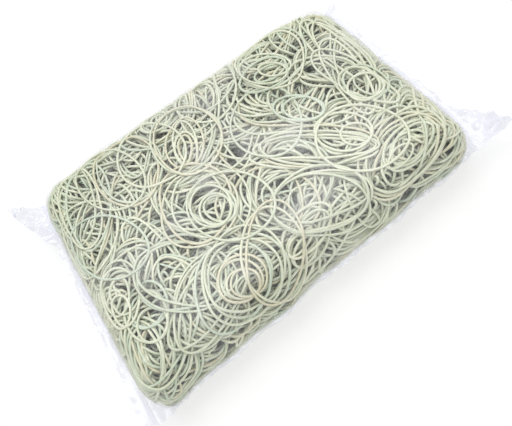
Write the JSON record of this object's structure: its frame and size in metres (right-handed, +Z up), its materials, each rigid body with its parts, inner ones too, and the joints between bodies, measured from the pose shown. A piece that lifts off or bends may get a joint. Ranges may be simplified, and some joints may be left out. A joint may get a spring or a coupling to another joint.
{
  "type": "leg bands in a sealed film pack",
  "caption": "Flat clear film pillow pack, sealed at both ends and filled with thin elastic leg bands, lying tangled in layers.",
  "frame": {"origin": "middle of the pack's flat underside, on the surface it lies on", "axes": "+X along the pack towards its right end seal, +Y across it towards the back crease, +Z up through its thickness"},
  "size_m": [0.2763, 0.176, 0.044],
  "materials": {
    "clear_film": "clear polythene film, softly glossy and finely wrinkled",
    "weld_film": "heat-sealed polythene, slightly milky and embossed",
    "band_rubber": "pale cream-green rubber with a dusting of talc"
  },
  "bodies": {
    "pack": {"upper_web": "clear_film", "lower_web": "clear_film", "front_crease": "clear_film", "back_crease": "clear_film", "front_left_gusset": "clear_film", "back_left_gusset": "clear_film", "front_right_gusset": "clear_film", "back_right_gusset": "clear_film", "bands_layer_01": "band_rubber", "bands_layer_02": "band_rubber", "bands_layer_03": "band_rubber", "bands_layer_04": "band_rubber", "bands_layer_05": "band_rubber", "bands_layer_06": "band_rubber", "bands_layer_07": "band_rubber", "bands_layer_08": "band_rubber", "bands_layer_09": "band_rubber", "bands_layer_10": "band_rubber", "bands_layer_11": "band_rubber", "bands_layer_12": "band_rubber", "bands_layer_13": "band_rubber", "bands_layer_14": "band_rubber", "bands_layer_15": "band_rubber", "bands_layer_16": "band_rubber", "bands_layer_17": "band_rubber", "bands_layer_18": "band_rubber", "bands_layer_19": "band_rubber", "bands_layer_20": "band_rubber", "bands_layer_21": "band_rubber", "bands_layer_22": "band_rubber"},
    "left_flap": {"left_weld": "weld_film", "left_hem": "clear_film"},
    "right_flap": {"right_weld": "weld_film", "right_hem": "clear_film"}
  },
  "joints": [
    {"name": "left_flap_fold", "type": "hinge", "parent": "pack", "child": "left_flap", "pos_m": [-0.114, 0, 0.016], "axis": [0, 1, 0], "range_deg": [-35, 85]},
    {"name": "right_flap_fold", "type": "hinge", "parent": "pack", "child": "right_flap", "pos_m": [0.114, 0, 0.016], "axis": [0, -1, 0], "range_deg": [-35, 85]}
  ]
}
